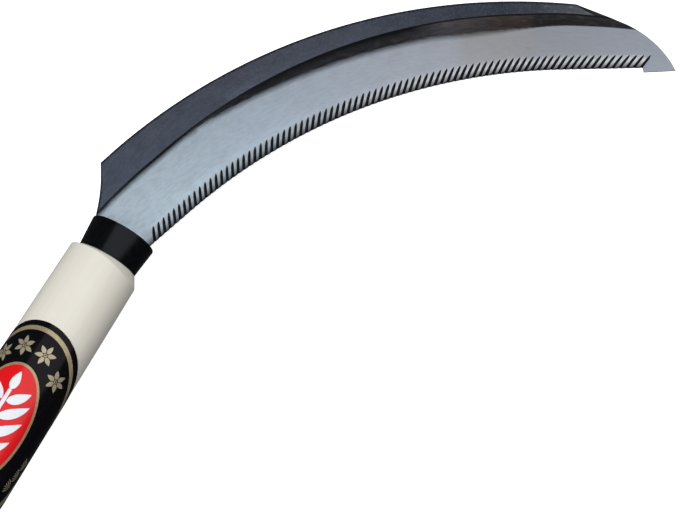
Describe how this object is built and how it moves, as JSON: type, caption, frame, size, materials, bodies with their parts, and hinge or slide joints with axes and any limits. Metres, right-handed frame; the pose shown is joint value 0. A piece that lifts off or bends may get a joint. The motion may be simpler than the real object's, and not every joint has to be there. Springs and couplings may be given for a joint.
{
  "type": "hand sickle",
  "caption": "Hand sickle with a curved saw-toothed steel blade, a black collar and an oval pale wood handle that carries an oval label.",
  "frame": {"origin": "centre of the flat butt face of the handle", "axes": "+X along the handle to the blade, +Z out of the blade's ground face, and the teeth face -Y"},
  "size_m": [0.315, 0.1692, 0.0265],
  "materials": {
    "blade_steel": "ground bevel with fine scratches, dark unground spine band",
    "black_plastic": "glossy moulded",
    "pale_wood": "smooth sanded, bare",
    "label_film": "glossy printed film",
    "pin_steel": "plain steel"
  },
  "bodies": {
    "root": {"blade": "blade_steel", "ferrule": "black_plastic", "handle": "pale_wood", "label": "label_film", "tang_pin_front": "pin_steel", "tang_pin_rear": "pin_steel"}
  },
  "joints": []
}
